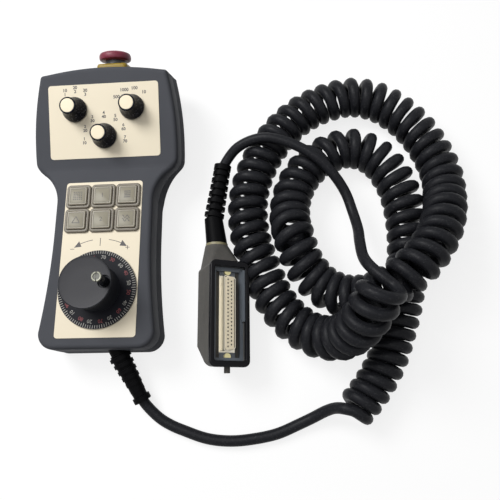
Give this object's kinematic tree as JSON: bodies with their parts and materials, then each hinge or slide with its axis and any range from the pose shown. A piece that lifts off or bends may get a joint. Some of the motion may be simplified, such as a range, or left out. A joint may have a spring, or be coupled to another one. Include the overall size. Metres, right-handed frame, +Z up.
{
  "type": "pulse generator handwheel",
  "caption": "Hand-held control pendant with a tilted head, graduated handwheel with crank peg, square keys, selector knobs, stop button, and a curly cord ending in a D-shaped plug.",
  "frame": {"origin": "on the grip's flat back, under the handwheel's axis", "axes": "+Z up out of the grip's face along the handwheel's axis, +Y along the grip towards the stop button, +X to the right"},
  "size_m": [0.341, 0.323, 0.0903],
  "materials": {
    "housing_plastic": "fine-textured",
    "label": "satin",
    "black_plastic": "satin",
    "white_plastic": "satin",
    "steel": "brushed",
    "key_plastic": "translucent, satin",
    "board": "satin",
    "yellow_plastic": "satin",
    "red_plastic": "glossy",
    "cable": "satin",
    "hood_plastic": "matt",
    "insert_plastic": "satin",
    "seal": "matt",
    "aluminium": "satin"
  },
  "bodies": {
    "housing": {"front_shell": "housing_plastic", "rear_shell": "housing_plastic", "housing_screws": "steel", "head_label": "label", "grip_label": "label", "left_switch": "black_plastic", "right_switch": "black_plastic", "centre_switch": "black_plastic", "switch_nuts": "steel", "key_switches": "black_plastic", "circuit_board": "board", "board_screws": "steel", "encoder_body": "aluminium", "encoder_screws": "steel", "estop_collar": "yellow_plastic", "estop_body": "black_plastic", "estop_nut": "steel", "housing_strain_relief": "cable", "cord_lead": "cable", "curly_cord": "cable", "cord_tail": "cable", "plug_strain_relief": "cable", "plug_ring": "seal", "plug_hood": "hood_plastic", "plug_rim": "black_plastic", "locking_peg": "hood_plastic", "dsub_shell": "aluminium", "dsub_insert": "insert_plastic", "dsub_screws": "steel"},
    "left_selector": {"left_knob": "black_plastic", "left_knob_cap": "white_plastic", "left_shaft": "steel"},
    "right_selector": {"right_knob": "black_plastic", "right_knob_cap": "white_plastic", "right_shaft": "steel"},
    "centre_selector": {"centre_knob": "black_plastic", "centre_knob_cap": "white_plastic", "centre_shaft": "steel"},
    "key_upper_left": {"key_upper_left": "key_plastic"},
    "key_upper_centre": {"key_upper_centre": "key_plastic"},
    "key_upper_right": {"key_upper_right": "key_plastic"},
    "key_lower_left": {"key_lower_left": "key_plastic"},
    "key_lower_centre": {"key_lower_centre": "key_plastic"},
    "key_lower_right": {"key_lower_right": "key_plastic"},
    "handwheel": {"dial_disc": "black_plastic", "wheel_knob": "black_plastic", "crank_screw": "steel", "encoder_shaft": "steel"},
    "peg": {"crank_peg": "black_plastic"},
    "stop_plunger": {"estop_plunger": "black_plastic"},
    "stop_cap": {"estop_cap": "red_plastic"}
  },
  "joints": [
    {"name": "left_select", "type": "hinge", "parent": "housing", "child": "left_selector", "pos_m": [-0.02335, 0.14322, 0.05688], "axis": [0, -0.2932, 0.956], "range_deg": [-36, 36]},
    {"name": "right_select", "type": "hinge", "parent": "housing", "child": "right_selector", "pos_m": [0.02335, 0.14322, 0.05688], "axis": [0, -0.2932, 0.956], "range_deg": [-54, 54]},
    {"name": "centre_select", "type": "hinge", "parent": "housing", "child": "centre_selector", "pos_m": [0, 0.12228, 0.05046], "axis": [0, -0.2932, 0.956], "range_deg": [-108, 108]},
    {"name": "key_upper_left_press", "type": "slide", "parent": "housing", "child": "key_upper_left", "axis": [0, 0, -1], "range_m": [0, 0.0008], "stiffness_N_per_m": 1500},
    {"name": "key_upper_centre_press", "type": "slide", "parent": "housing", "child": "key_upper_centre", "axis": [0, 0, -1], "range_m": [0, 0.0008], "stiffness_N_per_m": 1500},
    {"name": "key_upper_right_press", "type": "slide", "parent": "housing", "child": "key_upper_right", "axis": [0, 0, -1], "range_m": [0, 0.0008], "stiffness_N_per_m": 1500},
    {"name": "key_lower_left_press", "type": "slide", "parent": "housing", "child": "key_lower_left", "axis": [0, 0, -1], "range_m": [0, 0.0008], "stiffness_N_per_m": 1500},
    {"name": "key_lower_centre_press", "type": "slide", "parent": "housing", "child": "key_lower_centre", "axis": [0, 0, -1], "range_m": [0, 0.0008], "stiffness_N_per_m": 1500},
    {"name": "key_lower_right_press", "type": "slide", "parent": "housing", "child": "key_lower_right", "axis": [0, 0, -1], "range_m": [0, 0.0008], "stiffness_N_per_m": 1500},
    {"name": "handwheel_turn", "type": "hinge", "parent": "housing", "child": "handwheel", "pos_m": [0, 0, 0.045], "axis": [0, 0, 1], "continuous": true},
    {"name": "peg_spin", "type": "hinge", "parent": "handwheel", "child": "peg", "pos_m": [0.014, 0, 0.07], "axis": [0, 0, 1], "continuous": true},
    {"name": "stop_press", "type": "slide", "parent": "housing", "child": "stop_plunger", "axis": [0, -0.9262, -0.377], "range_m": [0, 0.0035], "stiffness_N_per_m": 2000},
    {"name": "stop_twist", "type": "hinge", "parent": "stop_plunger", "child": "stop_cap", "pos_m": [0.0032, 0.19762, 0.04226], "axis": [0, 0.9262, 0.377], "range_deg": [-45, 0], "stiffness_Nm_per_rad": 0.2}
  ]
}
